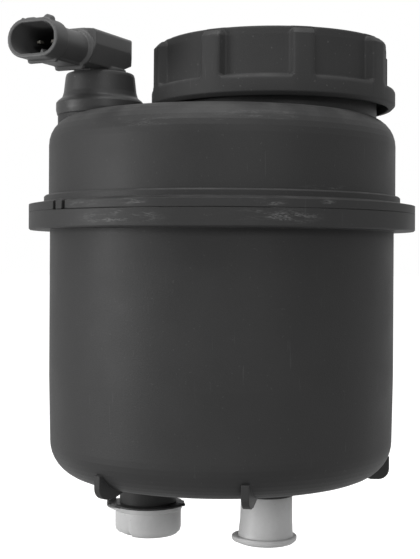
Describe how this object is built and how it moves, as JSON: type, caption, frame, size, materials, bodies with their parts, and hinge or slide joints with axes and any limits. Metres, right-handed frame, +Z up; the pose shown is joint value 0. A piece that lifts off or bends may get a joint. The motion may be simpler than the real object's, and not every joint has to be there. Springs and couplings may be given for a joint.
{
  "type": "power steering reservoir",
  "caption": "Welded round fluid reservoir with ribbed screw cap, dipstick, inner filter, float level sensor in a rubber grommet, and capped hose spigots below.",
  "frame": {"origin": "centre of the weld flange's underside, on the tank's axis, where the clamp band's bracket meets the flange", "axes": "+Z up along the tank's axis; -Y is the front, which the picture shows; the filler cap is towards +X and the level sensor towards -X"},
  "size_m": [0.1233, 0.121, 0.1598],
  "materials": {
    "housing_black": "moulded nylon, fine satin grain",
    "cap_black": "moulded, matt grain",
    "sensor_black": "moulded, satin",
    "rubber_black": "dull moulded rubber",
    "inner_black": "moulded",
    "contact_metal": "tinned",
    "spring_steel": "drawn wire and strip",
    "filter_plastic": "natural nylon",
    "core_metal": "punched sheet",
    "filter_paper": "resin-treated paper",
    "float_plastic": "closed-cell moulded",
    "magnet_grey": "sintered",
    "reed_glass": "clear glass with bright leads",
    "shipping_white": "soft waxy polyethylene"
  },
  "bodies": {
    "tank": {"lower_housing": "housing_black", "upper_housing": "housing_black", "baffle_plate": "inner_black", "filter_seal": "rubber_black", "filter_base": "filter_plastic", "filter_core": "core_metal", "filter_media": "filter_paper", "filter_top": "filter_plastic", "filter_spring": "spring_steel", "sensor_grommet": "rubber_black", "sensor_head": "sensor_black", "contact_pin_left": "contact_metal", "contact_pin_right": "contact_metal", "sensor_stem": "sensor_black", "reed_switch": "reed_glass", "float_clip": "spring_steel"},
    "float": {"sensor_float": "float_plastic", "float_magnet": "magnet_grey"},
    "gasket": {"cap_gasket": "rubber_black"},
    "vent": {"vent_diaphragm": "rubber_black"},
    "cap": {"filler_cap": "cap_black", "cap_insert": "inner_black", "dipstick": "inner_black"},
    "suction_cap": {"suction_washer": "rubber_black", "suction_port_cap": "shipping_white"},
    "return_cap": {"return_port_cap": "shipping_white"}
  },
  "joints": [
    {"name": "cap_lift", "type": "slide", "parent": "tank", "child": "gasket", "axis": [0, 0, 1], "range_m": [0, 0.085]},
    {"name": "cap_rise", "type": "slide", "parent": "gasket", "child": "vent", "axis": [0, 0, 1], "range_m": [0, 0.0105]},
    {"name": "cap_turn", "type": "hinge", "parent": "vent", "child": "cap", "pos_m": [0.016, 0, 0.05], "axis": [0, 0, 1], "range_deg": [0, 540]},
    {"name": "float_slide", "type": "slide", "parent": "tank", "child": "float", "axis": [0, 0, 1], "range_m": [0, 0.03]},
    {"name": "suction_cap_pull", "type": "slide", "parent": "tank", "child": "suction_cap", "axis": [0, 0, -1], "range_m": [0, 0.04]},
    {"name": "return_cap_pull", "type": "slide", "parent": "tank", "child": "return_cap", "axis": [0, 0, -1], "range_m": [0, 0.04]}
  ],
  "couplings": [
    {"joint": "cap_rise", "follows": "cap_turn", "m_per_rad": 0.001114}
  ]
}
